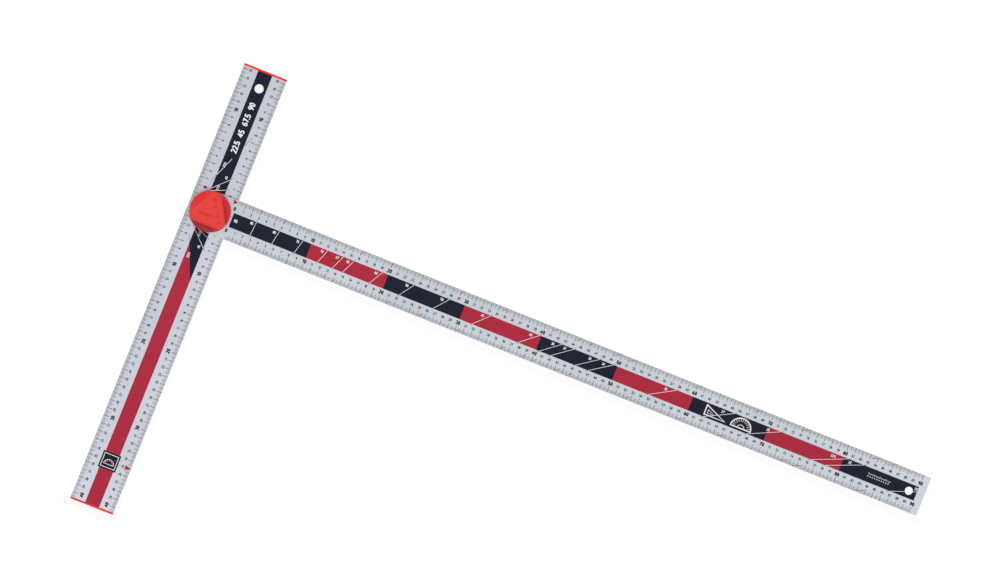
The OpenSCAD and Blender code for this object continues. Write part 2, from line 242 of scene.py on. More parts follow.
def rectangle(x0, x1, y0, y1):
    """A rectangular slab."""
    return slabs([[(x0, y0), (x1, y0), (x1, y1), (x0, y1)]])


def upright_bars(across, low, high, width):
    """Bars along Y at several places across, from a low to a high end, each end one number or
    one for each bar."""
    low, high = np.broadcast_to(low, across.shape), np.broadcast_to(high, across.shape)
    return bars(np.stack([across, low], 1), np.stack([across, high], 1), width)


def arc(centre, radii, start_deg, end_deg, steps):
    """Points on an ellipse round a centre, evenly spaced in angle."""
    angles = np.radians(np.linspace(start_deg, end_deg, steps + 1))
    return np.stack([centre[0] + radii[0] * np.cos(angles), centre[1] + radii[1] * np.sin(angles)], 1)


def stacked(parts, first=1):
    """The parts with rising tops, one step after another, so that crossing parts share no face."""
    return [(vertices * (1, 1, 1 + STACK_STEP * (first + order)), faces)
            for order, (vertices, faces) in enumerate(parts)]


HOLE_STEP_DEG = 5
NEARLY_ZERO = 1e-9


def holed_rectangle(x0, x1, y0, y1, centre, radius):
    """A rectangular slab with a round hole: points on the circle, at even steps and towards the
    four corners, are joined to the points where the same directions meet the rectangle."""
    low, high = np.array((x0, y0)) - centre, np.array((x1, y1)) - centre
    corners = np.arctan2([low[1], low[1], high[1], high[1]], [low[0], high[0], high[0], low[0]])
    angles = np.unique(np.concatenate([np.radians(np.arange(-180, 180, HOLE_STEP_DEG)), corners]))
    ahead = np.stack([np.cos(angles), np.sin(angles)], 1)
    side = np.where(ahead > 0, high, low) / np.where(np.abs(ahead) < NEARLY_ZERO, NEARLY_ZERO, ahead)
    reach = np.abs(side).min(1, keepdims=True)
    return strip(np.array(centre) + ahead * reach, np.array(centre) + ahead * radius, True)


def outside_circle(start, end, centre, radius):
    """The stretches of a straight line that lie outside a circle."""
    start, end, centre = (np.array(point, float) for point in (start, end, centre))
    ahead = unit(end - start)
    length = np.linalg.norm(end - start)
    middle = (centre - start) @ ahead
    reach = radius**2 - ((centre - start) @ (centre - start) - middle**2)
    if reach <= 0:
        return [(start, end)]
    enter, leave = middle - math.sqrt(reach), middle + math.sqrt(reach)
    kept = [(0, min(enter, length)), (max(leave, 0), length)]
    return [(start + ahead * a, start + ahead * b) for a, b in kept if b > a]


# Figures as pen strokes


def loop(centre, radii, steps):
    """A closed stroke round a centre."""
    return arc(centre, radii, 90, 450 - 360 / steps, steps - 1), True


def line(*points):
    """An open stroke through points."""
    return np.array(points, float), False


# Each figure stands in a cell one unit high; ADVANCE is the width that it takes in a number
STROKES = {
    "0": [loop((0.28, 0.5), (0.20, 0.42), 12)],
    "1": [line((0.10, 0.72), (0.31, 0.92), (0.31, 0.06))],
    "2": [line(*arc((0.27, 0.68), (0.20, 0.24), 160, -35, 6), (0.08, 0.08), (0.49, 0.08))],
    "3": [line(*arc((0.26, 0.71), (0.19, 0.21), 150, -80, 5)),
          line(*arc((0.26, 0.29), (0.21, 0.21), 75, -150, 5))],
    "4": [line((0.52, 0.30), (0.07, 0.30), (0.38, 0.93)), line((0.38, 0.93), (0.38, 0.06))],
    "5": [line((0.46, 0.92), (0.13, 0.92), (0.10, 0.52),
               *arc((0.26, 0.33), (0.22, 0.25), 100, -145, 6))],
    "6": [loop((0.28, 0.31), (0.20, 0.23), 8),
          line((0.08, 0.33), (0.13, 0.62), (0.27, 0.82), (0.43, 0.93))],
    "7": [line((0.07, 0.92), (0.49, 0.92), (0.21, 0.06))],
    "8": [loop((0.28, 0.71), (0.17, 0.20), 7), loop((0.28, 0.29), (0.20, 0.22), 7)],
    "9": [loop((0.28, 0.69), (0.20, 0.23), 8),
          line((0.48, 0.67), (0.43, 0.38), (0.29, 0.18), (0.13, 0.07))],
    ".": [line((0.10, 0.01), (0.10, 0.17))],
    " ": [],
}
ADVANCE = dict.fromkeys("0123456789", 0.60) | {".": 0.22, " ": 0.75, "1": 0.46}


def number(text, centre, height, pen=FIGURE_PEN, turn_deg=0.0):
    """A number's strokes, centred on a plan point and turned counterclockwise. A thicker pen sets
    the figures further apart."""
    turn = math.radians(turn_deg)
    ahead = np.array([math.cos(turn), math.sin(turn)])
    up = np.array([-ahead[1], ahead[0]])
    gap = pen - FIGURE_PEN
    start = -(sum(ADVANCE[figure] + gap for figure in text) - gap) / 2
    parts = []
    for figure in text:
        strokes = [pen_stroke(path, pen, closed) for path, closed in STROKES[figure]]
        for vertices, faces in stacked(strokes):
            across = (vertices[:, :1] + start) * height * ahead
            plan = np.array(centre) + across + (vertices[:, 1:2] - 0.5) * height * up
            parts.append((np.concatenate([plan, vertices[:, 2:]], 1), faces))
        start += ADVANCE[figure] + gap
    return parts


def print_ink(body, surface, inks, layers):
    """Prints pieces on a body's surface. Each layer gives a piece's name, parts, slot and
    thickness: level 0 of its parts lies just under the surface, level 1 on top of the ink."""
    for name, parts, slot, thickness in layers:
        vertices, faces = joined(parts)
        vertices[:, 2] = surface - INK_SINK + vertices[:, 2] * (thickness + INK_SINK)
        add_piece(name, vertices, faces, body, inks[slot])


# Scales


def scale_row(place, first, last, turn_deg, figure_insets):
    """Ticks at every millimetre and a number at every centimetre of a row. place turns a distance
    along the scale and an inset from the edge into a plan point. Marks that the blade's round
    end always covers are left out."""
    distances = np.arange(first, last + 1)
    rank = (distances % HALF_STEP == 0).astype(int) + (distances % FIGURE_STEP == 0)
    lengths, widths = np.array(TICK_LENGTHS)[rank], np.array(TICK_WIDTHS)[rank]
    outer = place(distances, np.full(len(distances), TICK_INSET))
    inner = place(distances, lengths)
    shown = np.hypot(inner[:, 0], inner[:, 1]) > PRINT_CLEAR_R
    parts = [bars(outer[shown], inner[shown], widths[shown])]
    for distance in range(FIGURE_STEP * math.ceil(first / FIGURE_STEP), last + 1, FIGURE_STEP):
        bold = distance % BOLD_STEP == 0
        point = place(np.array([distance]), np.array([figure_insets[bold]]))[0]
        if np.hypot(*point) < PRINT_CLEAR_R:
            continue
        height, pen = (BOLD_HEIGHT, BOLD_PEN) if bold else (FIGURE_HEIGHT, FIGURE_PEN)
        parts += number(str(abs(distance) // FIGURE_STEP), point, height, pen, turn_deg)
    return parts


def blade_upper(distance, inset):
    """A point inside the blade's upper edge, at a distance from the fence."""
    return np.stack([FENCE_X + distance, BLADE_HALF - inset], 1)


def blade_lower(distance, inset):
    """A point inside the blade's lower edge, at a distance from the fence."""
    return np.stack([FENCE_X + distance, inset - BLADE_HALF], 1)


def head_right(distance, inset):
    """A point inside the head's fence, at a distance below the head's zero."""
    return np.stack([HEAD_HALF - inset, BLADE_HALF - distance], 1)


def head_left(distance, inset):
    """A point inside the head's left edge, at a distance below the head's zero."""
    return np.stack([inset - HEAD_HALF, BLADE_HALF - distance], 1)


def angle_line(angle, y0, y1):
    """The stretch between two heights of the blade's line for an angle."""
    slope = math.tan(math.radians(angle))
    cross = FENCE_X + ANGLE_RADIUS / slope
    return (cross + y0 / slope, y0), (cross + y1 / slope, y1)


def print_blade(inks):
    """The blade's bands, scales, angle lines and signs."""
    black = []
    for place in (blade_upper, blade_lower):
        black += scale_row(place, 1, SCALE_LENGTH, 0, BLADE_FIGURE_INSETS)
    zero_x, zero_y = ZERO_PLACE
    for y in (zero_y, -zero_y):
        black += number("0", (zero_x, y), BOLD_HEIGHT, BOLD_PEN)

    dark_bands, red_bands = [], []
    for index in range(SCALE_LENGTH // BAND_STEP):
        start = FENCE_X + index * BAND_STEP
        end = start + BAND_STEP
        bands = red_bands if index % 2 else dark_bands
        if start < BLADE_HOLE[0] < end:
            hole_r = BLADE_HOLE_R + HOLE_CLEAR
            bands.append(holed_rectangle(start, end, -BAND_HALF, BAND_HALF, BLADE_HOLE, hole_r))
        else:
            bands.append(rectangle(start, end, -BAND_HALF, BAND_HALF))

    white, red = [], []
    last_x = FENCE_X + SCALE_LENGTH
    stretches = [*RED_STRETCHES, *((-y1, -y0) for y0, y1 in RED_STRETCHES)]
    for angle in ANGLES:
        start, end = angle_line(angle, -BAND_HALF, BAND_HALF)
        if end[0] > last_x:
            end = (last_x, start[1] + (last_x - start[0]) * math.tan(math.radians(angle)))
        for a, b in outside_circle(start, end, BLADE_HOLE, BLADE_HOLE_R + LINE_CLEAR):
            white.append(bars(a, b, WHITE_LINE))
        label = f"{angle:g}"
        foot_x = angle_line(angle, LABEL_FOOT_Y, LABEL_FOOT_Y)[0][0]
        label_x = foot_x - LABEL_GAP - LABEL_HALF_PER_FIGURE * ADVANCE["0"] * len(label)
        label_x = min(label_x, last_x - LABEL_END_GAP)
        white += number(label, (label_x, LABEL_Y), FIGURE_HEIGHT)
        for y0, y1 in stretches:
            a, b = angle_line(angle, y0, y1)
            if b[0] < last_x and a[0] > FENCE_X:
                red.append(bars(a, b, RED_LINE))
    white += number("90", SQUARE_LABEL_PLACE, SQUARE_LABEL_HEIGHT)
    white += blade_sign() + small_scale()
    red.append(slabs([BLADE_POINTER]))

    print_ink("blade", BLADE_TOP, inks, [
        ("blade_bands_dark", dark_bands, "ink_navy", BAND_INK),
        ("blade_bands_red", red_bands, "ink_red", BAND_INK),
        ("blade_scales", black, "ink_black", LINE_INK),
        ("blade_angle_lines", white, "ink_white", LINE_INK),
        ("blade_angle_ticks", red, "ink_red", OVER_INK),
    ])


def half_protractor(centre, radii, steps, half_base, pen, spoke_step_deg, spoke_span, spoke_pen):
    """A half-round protractor: a half circle on a straight base, with spokes at even angles
    between two distances from the centre."""
    spokes = np.radians(np.arange(spoke_step_deg, 180, spoke_step_deg))
    ahead = np.stack([np.cos(spokes), np.sin(spokes)], 1)
    base = [(centre[0] - half_base, centre[1]), (centre[0] + half_base, centre[1])]
    near, far = spoke_span
    return [pen_stroke(arc(centre, radii, 0, 180, steps), pen), pen_stroke(base, pen),
            bars(centre + ahead * near, centre + ahead * far, spoke_pen)]


# The signs on the blade, measured from the set square's right corner
SIGN_PLACE = np.array([FENCE_X + 620, -5.6])
SIGN_PEN = 1.5
SIGN_OUTER = [(0, 0), (27, 0), (0, 12)]
SIGN_INNER = [(3.4, 2.6), (12.5, 2.6), (3.4, 6.7)]
SIGN_INNER_PEN = 0.7
SIGN_PROTRACTOR = (48, 0)
SIGN_HUB_RADII = (4.4, 4.2)
SIGN_HUB_STEPS = 12
SIGN_HUB_PEN = 0.8


def blade_sign():
    """Plain signs of a set square and a half-round protractor, in thick white strokes."""
    centre = SIGN_PLACE + SIGN_PROTRACTOR
    parts = [pen_stroke(SIGN_PLACE + SIGN_OUTER, SIGN_PEN, True),
             pen_stroke(SIGN_PLACE + SIGN_INNER, SIGN_INNER_PEN, True)]
    parts += half_protractor(centre, radii=(13, 12.4), steps=24, half_base=13.7, pen=SIGN_PEN,
                             spoke_step_deg=15, spoke_span=(8.2, 12), spoke_pen=0.6)
    parts.append(pen_stroke(arc(centre, SIGN_HUB_RADII, 0, 180, SIGN_HUB_STEPS), SIGN_HUB_PEN))
    return stacked(parts, OVER_LINES)


# The small scale's two rows of ticks: their steps, counts, widths and ends
SMALL_SCALE_X = FENCE_X + 836
SMALL_STEPS = (1.5, 3.0)
SMALL_COUNTS = (20, 10)
SMALL_WIDTHS = (0.6, 0.9)
SMALL_UPPER_FOOT = 0.6
SMALL_TICK = 1.4
SMALL_TICK_EXTRA = 0.9
SMALL_LOWER_SPAN = (-2.6, -0.9)


def small_scale():
    """Two short rows of plain white ticks near the blade's far end."""
    upper = SMALL_SCALE_X + SMALL_STEPS[0] * np.arange(SMALL_COUNTS[0])
    lower = SMALL_SCALE_X + SMALL_STEPS[1] * np.arange(SMALL_COUNTS[1])
    tall = SMALL_TICK + SMALL_TICK_EXTRA * (np.arange(len(upper)) % HALF_STEP == 0)
    return [upright_bars(upper, SMALL_UPPER_FOOT, SMALL_UPPER_FOOT + tall, SMALL_WIDTHS[0]),
            upright_bars(lower, *SMALL_LOWER_SPAN, SMALL_WIDTHS[1])]


# The edge of the blade crosses the head along these lines. Each row gives the blade's angle to
# the head, how far across the head its white line goes, and the place of its number.
FIRST_CLICK = 22.5
CLICK_LINES = (
    (FIRST_CLICK, 1.2, (-4.6, 58.5)),
    (45, BAND_HALF, (3.4, 44.6)),
    (67.5, BAND_HALF, (-1.6, 29.6)),
)
CLICK_FIGURE_HEIGHT = FIGURE_HEIGHT - 0.2

# How far the lines go on in red beyond the bands, to the left, to the right and for the first
RED_LEFT = 3.6
RED_RIGHT = 2.6
RED_FIRST = (0.6, 5.6)

# The dark bands reach this far under the blade's round end
UNDER_BLADE = 0.8

# The row of large white numbers
STOPS = "22.5 45 67.5 90"
STOPS_PLACE = (-0.4, 108)
STOPS_HEIGHT = 7.4

# The marker where the angle lines meet: a pointer at the fence and a dash beside the panel
POINTER_LENGTH = 7.2
POINTER_HALF = 3.1
POINTER_TIP_HALF = 0.2
DASH_SPAN = (12.2, 14.0)
DASH_PEN = 0.7


def click_line(angle, x0, x1, side):
    """Where the blade's edge lies on the head at an angle to it: a line that touches the circle of
    the blade's round end. side is 1 for the head's short end and -1 for its long end."""
    swing = math.radians(90 - angle)
    points = []
    for x in (x0, x1):
        y = BLADE_HALF / math.cos(swing) + x * math.tan(swing)
        points.append((x, side * y))
    return points


def print_head(inks):
    """The head's bands, scales, click lines, panel and marker."""
    first, last = round(BLADE_HALF - rail_high[1]) + 1, round(BLADE_HALF - rail_low[1]) - 1
    black = []
    for place in (head_right, head_left):
        black += scale_row(place, first, last, 90, HEAD_FIGURE_INSETS)

    half = BAND_HALF
    near, far = click_line(FIRST_CLICK, -half, half, -1)
    under = math.sqrt(PRINT_CLEAR_R**2 - half**2) - UNDER_BLADE
    low_end = rail_low[1]
    dark_bands = [
        slabs([[near, far, (half, -under), (-half, -under)]]),
        holed_rectangle(-half, half, under, rail_high[1], HEAD_HOLE, HEAD_HOLE_R + HOLE_CLEAR),
    ]
    red_band = [slabs([[(-half, low_end), (half, low_end), far, near]])]

    white, red = [], []
    for side in (1, -1):
        for angle, stop, (label_x, label_y) in CLICK_LINES:
            between_bands = side < 0 and angle == FIRST_CLICK
            if not between_bands:
                white.append(bars(*click_line(angle, -half, stop, side), WHITE_LINE))
            left = click_line(angle, -half - RED_LEFT, -half, side)
            if np.hypot(*left[0]) > PRINT_CLEAR_R:
                red.append(bars(*left, RED_LINE))
            if stop == half:
                red.append(bars(*click_line(angle, half, half + RED_RIGHT, side), RED_LINE))
            label_place = (label_x, side * label_y)
            white += number(f"{angle:g}", label_place, CLICK_FIGURE_HEIGHT, turn_deg=90)
    red_from, red_to = RED_FIRST
    red.append(bars(*click_line(FIRST_CLICK, half + red_from, half + red_to, 1), RED_LINE))
    white += number(STOPS, STOPS_PLACE, STOPS_HEIGHT, turn_deg=90)

    centre_y = -ANGLE_RADIUS
    panel, panel_white, panel_red = head_panel(centre_y)
    tip = HEAD_HALF - TICK_INSET
    foot = tip - POINTER_LENGTH
    red.append(slabs([[(foot, centre_y - POINTER_HALF), (tip, centre_y - POINTER_TIP_HALF),
                       (tip, centre_y + POINTER_TIP_HALF), (foot, centre_y + POINTER_HALF)]]))
    red.append(bars((DASH_SPAN[0], centre_y), (DASH_SPAN[1], centre_y), DASH_PEN))

    print_ink("head", HEAD_TOP, inks, [
        ("head_bands_dark", dark_bands, "ink_navy", BAND_INK),
        ("head_bands_red", red_band, "ink_red", BAND_INK),
        ("head_panel", panel, "ink_navy", PANEL_INK),
        ("head_scales", black, "ink_black", LINE_INK),
        ("head_click_lines", white + panel_white, "ink_white", LINE_INK),
        ("head_marks_red", red + panel_red, "ink_red", OVER_INK),
    ])


# The panel and its frame, and on it the protractor's centre and its dashed arm
PANEL_HALF = (11.2, 10.6)
FRAME_INSET = 2.4
FRAME_PEN = 0.8
PANEL_CENTRE_DROP = 4.2
ARM_DEG = 52
ARM_DASHES = (1.0, 10.0, 2.2)
ARM_DASH = 1.3
ARM_PEN = 0.9


def head_panel(centre_y):
    """A dark panel that shows the marker's use: a plain half-round protractor with one arm."""
    half_x, half_y = PANEL_HALF
    panel = [rectangle(-half_x, half_x, centre_y - half_y, centre_y + half_y)]
    frame_x, frame_y = half_x - FRAME_INSET, half_y - FRAME_INSET
    frame_path = [(-frame_x, centre_y - frame_y), (frame_x, centre_y - frame_y),
                  (frame_x, centre_y + frame_y), (-frame_x, centre_y + frame_y)]
    centre = (0, centre_y - PANEL_CENTRE_DROP)
    white = [pen_stroke(frame_path, FRAME_PEN, True)]
    white += half_protractor(centre, radii=(6.2, 6.2), steps=20, half_base=6.5, pen=0.7,
                             spoke_step_deg=30, spoke_span=(4.2, 6), spoke_pen=0.5)
    arm = np.array([math.cos(math.radians(ARM_DEG)), math.sin(math.radians(ARM_DEG))])
    dashes = np.arange(*ARM_DASHES)[:, None]
    red = [bars(centre + dashes * arm, centre + (dashes + ARM_DASH) * arm, ARM_PEN)]
    return panel, stacked(white), stacked(red, OVER_LINES)


# Knob


KNOB_R = knob_high[1]
KNOB_HEIGHT = knob_high[2] - knob_low[2]
MARK_RISE = 0.6
CREST = KNOB_HEIGHT - MARK_RISE

# In plan the knob is a disc whose upper part is cut by three flats, each at FLAT_U from the
# axis; a flat or a circle that lies FAR out cuts nothing
RING_STEP_DEG = 0.5
CORNERS_DEG = (90, 210, 330)
FLAT_U = 17.2
FLATS_TURN_DEG = 30
FLATS_BLEND = 0.5
FAR = 60

# The disc: its rounded foot, and its upper edge, which starts at EDGE_LOW
QUARTER_RINGS = 5
FOOT_ROUND = 0.6
DISC_THICKNESS = 6
RIM_HIGH = DISC_THICKNESS - 0.7
EDGE_LOW = DISC_THICKNESS - 0.6
EDGE_RISE = 0.45
EDGE_CUT = 0.5

# The scoops, and the share of a quarter turn at which their rings start
SCOOP_R = 7
SCOOP_START = 0.04
SCOOP_RINGS = 20

# The shoulder, where a scoop's wall bends inwards to the slope round the face
SLOPE_DROP = 1.8
SHOULDER = KNOB_HEIGHT - SLOPE_DROP
WALL_END = 0.5
BEND_RINGS = 4
BEND_LOW = 0.35
BEND_RISE = 0.5
BEND_LEAN = 0.08
BEND_TURN = 0.42
BEND_CIRCLE = 0.02

# The slope, from its foot above the shoulder to a gap under the crest, and the crest's rounding
SLOPE_START = 0.12
SLOPE_RINGS = 9
SLOPE_FOOT = 0.15
SLOPE_GAP = 0.12
SLOPE_IN = 0.5
SLOPE_U = 14.2
TOP_ROUND = 1.2
CREST_RINGS = ((0.05, 0.28, 0.35, 0.6), (0.015, 0.62, 0.8, 0.3))
FACE_SHARES = (0.95, 0.8, 0.6, 0.4, 0.2, 0.05)

# Grip grooves at each corner; their depth grows with a share of the scoop
GROOVE_R = 0.6
GROOVES = 6
GROOVE_STEP_DEG = 3.85
GROOVE_GROWTH = 6

# The hollow underside, with a hub round the washer's recess
RIM_WALL = 2
HOLLOW_DEPTH = 3
HUB_R = 18
RECESS_R = 16
HEX_SIDES = 6
HEX_BLEND = 0.01


def lobed_radius(angles, circle_r, flat_u, flats, phase, blend):
    """Plan radius at each angle: the smooth minimum of a circle and of a ring of flats, each at
    flat_u from the axis."""
    step = 2 * math.pi / flats
    off = (angles - phase + step / 2) % step - step / 2
    line_r = flat_u / np.cos(off)
    share = np.clip(0.5 + 0.5 * (line_r - circle_r) / blend, 0, 1)
    return line_r * (1 - share) + circle_r * share - blend * share * (1 - share)


def knob_levels():
    """The knob's rings from the rim's foot over the top to the axis, as rows of height, circle
    radius, flat distance and groove depth. The foot, the disc's edge and the scoop are quarter
    circles, the shoulder leans in by a square law, and the slope is a straight run."""
    rows = []
    for turn in np.linspace(0, 1, QUARTER_RINGS) * math.pi / 2:
        rows.append((FOOT_ROUND - FOOT_ROUND * math.cos(turn),
                     KNOB_R - FOOT_ROUND + FOOT_ROUND * math.sin(turn), FAR, 0))
    rows.append((RIM_HIGH, KNOB_R, FAR, 0))
    for turn in np.linspace(0, 1, QUARTER_RINGS) * math.pi / 2:
        rows.append((EDGE_LOW + EDGE_RISE * math.sin(turn), KNOB_R,
                     KNOB_R + EDGE_RISE - EDGE_CUT * (1 - math.cos(turn)), 0))
    for share in np.linspace(SCOOP_START, 1, SCOOP_RINGS):
        turn = share * math.pi / 2
        rows.append((DISC_THICKNESS + SCOOP_R * (1 - math.cos(turn)), KNOB_R,
                     FLAT_U + SCOOP_R * (1 - math.sin(turn)), GROOVE_R * min(1, share * GROOVE_GROWTH)))
    rows.append((SHOULDER - WALL_END, KNOB_R, FLAT_U, GROOVE_R))
    for share in np.linspace(0, 1, BEND_RINGS):
        rows.append((SHOULDER - BEND_LOW + BEND_RISE * share, KNOB_R - BEND_CIRCLE * share,
                     FLAT_U - BEND_LEAN * share - BEND_TURN * share * share, GROOVE_R))
    slope_foot, slope_foot_u = SHOULDER + SLOPE_FOOT, FLAT_U - SLOPE_IN
    for share in np.linspace(SLOPE_START, 1, SLOPE_RINGS):
        height = slope_foot + (CREST - SLOPE_GAP - slope_foot) * share
        sink = max(0.0, height - (CREST - TOP_ROUND))
        rounding = TOP_ROUND - math.sqrt(max(TOP_ROUND**2 - sink**2, 0))
        rows.append((height, KNOB_R - BEND_CIRCLE - rounding,
                     slope_foot_u - (slope_foot_u - SLOPE_U) * share, GROOVE_R))
    _, circle_r, flat_u, depth = rows[-1]
    for below, circle_in, flat_in, groove_share in CREST_RINGS:
        rows.append((CREST - below, circle_r - circle_in, flat_u - flat_in, depth * groove_share))
    return rows


def knob_rings():
    """Radii and heights of the knob's outer rings, and the rings of its hollow underside down to
    the pocket of the hexagonal insert. A groove's bite follows a circle across the groove."""
    angles = np.radians(np.arange(0, 360, RING_STEP_DEG))
    groove_deg = (np.arange(GROOVES) - (GROOVES - 1) / 2) * GROOVE_STEP_DEG
    grooves = np.radians((np.array(CORNERS_DEG)[:, None] + groove_deg).ravel())
    off = np.abs((angles[:, None] - grooves + math.pi) % (2 * math.pi) - math.pi).min(1) * KNOB_R
    bite = np.sqrt(np.clip(1 - (off / GROOVE_R) ** 2, 0, 1))
    turn = math.radians(FLATS_TURN_DEG)
    radii, heights = [], []
    for height, circle_r, flat_u, depth in knob_levels():
        circle = circle_r - bite * depth
        radii.append(lobed_radius(angles, circle, flat_u, len(CORNERS_DEG), turn, FLATS_BLEND))
        heights.append(height)
    rim = radii[-1]
    for share in FACE_SHARES:
        radii.append(rim * share)
        heights.append(CREST)
    hex_half = (insert_high[1] - insert_low[1]) / 2
    hex_ring = lobed_radius(angles, FAR, hex_half, HEX_SIDES, math.pi / 2, HEX_BLEND)
    recess_high = washer_high[2] - knob_low[2]
    pocket_high = insert_high[2] - knob_low[2]
    under = [(KNOB_R - RIM_WALL, 0), (KNOB_R - RIM_WALL, HOLLOW_DEPTH), (HUB_R, HOLLOW_DEPTH),
             (HUB_R, 0), (RECESS_R, 0), (RECESS_R, recess_high)]
    under_radii = [np.full_like(angles, radius) for radius, _ in under] + [hex_ring, hex_ring]
    under_heights = [height for _, height in under] + [recess_high, pocket_high]
    return angles, radii, heights, under_radii, under_heights


KNOB_SMOOTH_DEG = 32


def build_knob(finish):
    """The knob as one closed shell: rings of points at rising heights, joined to their neighbours,
    closed by a point on the axis at the top and at the bottom of the insert's pocket."""
    angles, radii, heights, under_radii, under_heights = knob_rings()
    all_radii = np.array(under_radii[::-1] + radii)
    all_heights = np.array(under_heights[::-1] + heights) + knob_low[2]
    rings, count = all_radii.shape
    x = all_radii * np.cos(angles)
    y = all_radii * np.sin(angles)
    z = np.broadcast_to(all_heights[:, None], x.shape)
    vertices = np.stack([x, y, z], 2).reshape(-1, 3)
    poles = [(0, 0, all_heights[0]), (0, 0, all_heights[-1])]
    vertices = np.concatenate([vertices, poles])
    ring, column = np.arange(rings - 1)[:, None] * count, np.arange(count)[None, :]
    following = (column + 1) % count
    above = ring + count
    quads = np.stack([ring + column, ring + following, above + following, above + column], 2)
    foot, crown = rings * count, rings * count + 1
    column, following = column[0], following[0]
    last = (rings - 1) * count
    bottom = np.stack([np.full(count, foot), following, column], 1)
    top = np.stack([np.full(count, crown), last + column, last + following], 1)
    faces = quads.reshape(-1, 4).tolist() + bottom.tolist() + top.tolist()
    knob = add_piece("knob_shell", vertices, faces, "knob", finish, KNOB_SMOOTH_DEG)
    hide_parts("knob_body")


# The raised signs: the turning arrow, the plus and the minus, and the grip bars
ARROW_R = 9.5
ARROW_DEG = (-14, 74)
ARROW_STEPS = 16
BARB = 1.5
BARB_TIP = 0.6
MARK_PEN = 0.8
PLUS_R = 16.2
PLUS_HALF = 2.1
PLUS_PEN = 0.9
GRIP_PLACES = (-12, 4)
GRIP_BARS = 9
GRIP_SPAN = (-5.4, -2.8)


def build_knob_marks(finish):
    """Raised signs on the knob's face: a turning arrow between a plus and a minus, and a row of
    short grip bars."""
    first_deg, last_deg = ARROW_DEG
    parts = [pen_stroke(arc((0, 0), (ARROW_R, ARROW_R), first_deg, last_deg, ARROW_STEPS), MARK_PEN)]
    for tip_deg, way in ((first_deg, -1), (last_deg, 1)):
        tip = math.radians(tip_deg)
        out = np.array([math.cos(tip), math.sin(tip)])
        ahead = np.array([-out[1], out[0]]) * way
        point = out * ARROW_R
        barbs = [point - ahead * BARB + out * BARB, point + ahead * BARB_TIP,
                 point - ahead * BARB - out * BARB]
        parts.append(pen_stroke(barbs, MARK_PEN))
    parts.append(bars((-PLUS_HALF, PLUS_R), (PLUS_HALF, PLUS_R), PLUS_PEN))
    parts.append(bars((0, PLUS_R - PLUS_HALF), (0, PLUS_R + PLUS_HALF), PLUS_PEN))
    corner = math.radians(CORNERS_DEG[2])
    out = np.array([math.cos(corner), math.sin(corner)])
    along = np.array([-out[1], out[0]])
    parts.append(bars(out * PLUS_R - along * PLUS_HALF, out * PLUS_R + along * PLUS_HALF, PLUS_PEN))
    parts.append(upright_bars(np.linspace(*GRIP_PLACES, GRIP_BARS), *GRIP_SPAN, MARK_PEN))
    vertices, faces = joined(stacked(parts, 0))
    highest = vertices[:, 2].max()
    face = knob_high[2] - MARK_RISE
    vertices[:, 2] = face - INK_SINK + vertices[:, 2] / highest * (MARK_RISE + INK_SINK)
    add_piece("knob_marks", vertices, faces, "knob", finish)


# Caps


CAP_ROUND = 0.4
CAP_ROUND_STEPS = 4
SAME_PLACE = 0.001
FLAT_DEG = 0.5


def rounded_cap(name, node, finish):
    """An end cap with the edge of its outer face rounded. The node's loose triangles are merged
    and its flat faces made whole first. It takes the node's place."""
    shape = bmesh.new()
    shape.from_mesh(frame["nodes"][node].data)
    bmesh.ops.remove_doubles(shape, verts=shape.verts, dist=SAME_PLACE * MM)
    flat = math.radians(FLAT_DEG)
    bmesh.ops.dissolve_limit(shape, angle_limit=flat, verts=shape.verts, edges=shape.edges)
    face_y = max((vertex.co.y for vertex in shape.verts), key=abs)
    outline = [edge for edge in shape.edges
               if all(abs(end.co.y - face_y) < SAME_PLACE * MM for end in edge.verts)]
    bmesh.ops.bevel(shape, geom=outline, offset=CAP_ROUND * MM, segments=CAP_ROUND_STEPS,
                    profile=0.5, affect="EDGES")
    mesh = bpy.data.meshes.new(name)
    shape.to_mesh(mesh)
    shape.free()
    mesh.materials.clear()
    mesh.materials.append(finish)
    piece = bpy.data.objects.new(name, mesh)
    bpy.context.scene.collection.objects.link(piece)
    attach(piece, "head")
    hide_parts(node)


# Finishes


# The knob's face is painted paler between these heights, with soft ends: a painted sheen for the light
# the face catches, while the scoops below and the raised signs' tops above keep the deeper red as
# painted shade
SHEEN_FACE_LOW = knob_high[2] - 1.5
SHEEN_FACE_HIGH = knob_high[2] - 0.2
SOFT_EDGE = 0.3

# The shares of a pattern at which its colour is darkest and lightest
RAMP_ENDS = (0.3, 0.7)


